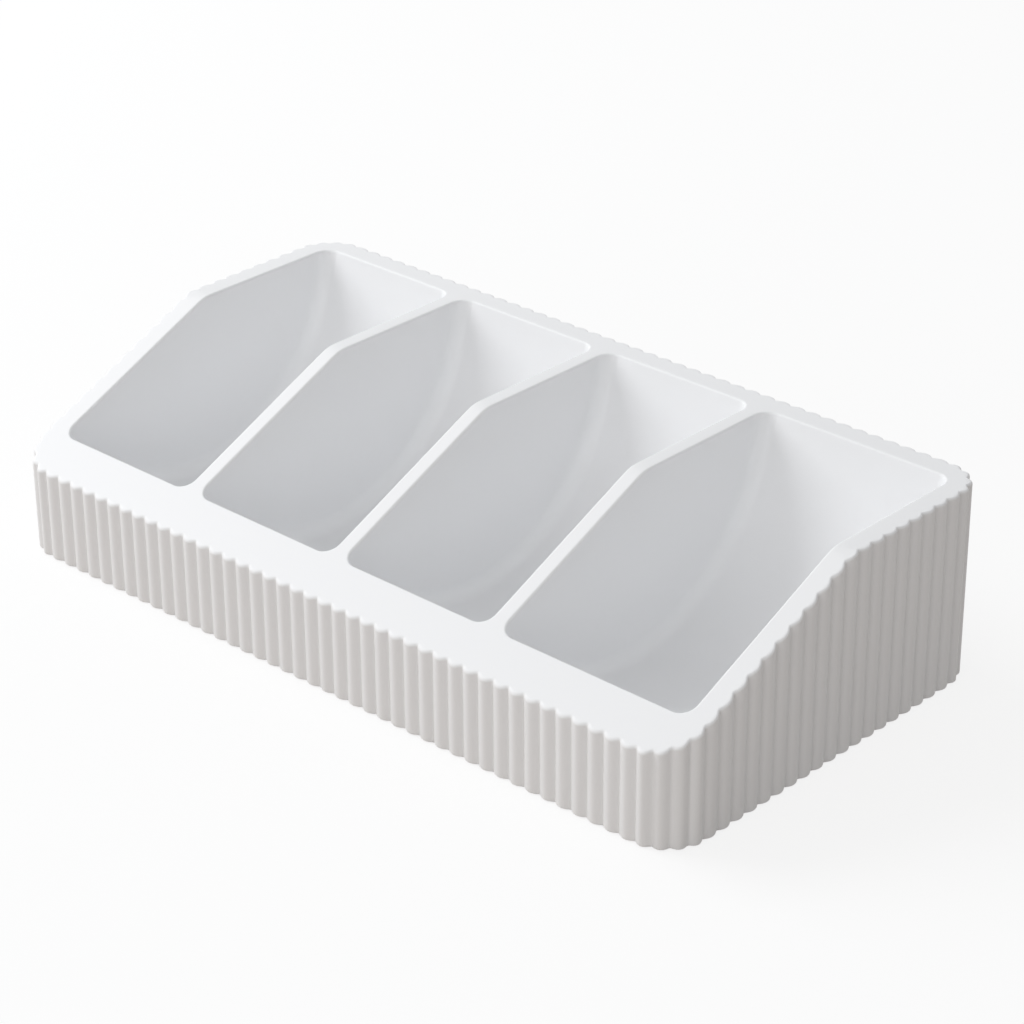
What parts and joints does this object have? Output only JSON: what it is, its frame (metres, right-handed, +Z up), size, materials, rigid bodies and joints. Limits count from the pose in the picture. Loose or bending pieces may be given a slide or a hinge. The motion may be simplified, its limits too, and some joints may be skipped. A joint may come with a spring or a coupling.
{
  "type": "organizer tray",
  "caption": "Low desk organizer tray with a reeded outside, a top that slopes down to the front, and scooped side-by-side pockets, one of them wider.",
  "frame": {"origin": "middle of the underside, on the surface that the tray stands on", "axes": "+X along the long side towards the wide pocket, +Y from the low front to the high back, +Z up"},
  "size_m": [0.26, 0.134, 0.0605],
  "materials": {
    "tray": "soft matte white"
  },
  "bodies": {
    "root": {"organizer_tray": "tray"}
  },
  "joints": []
}
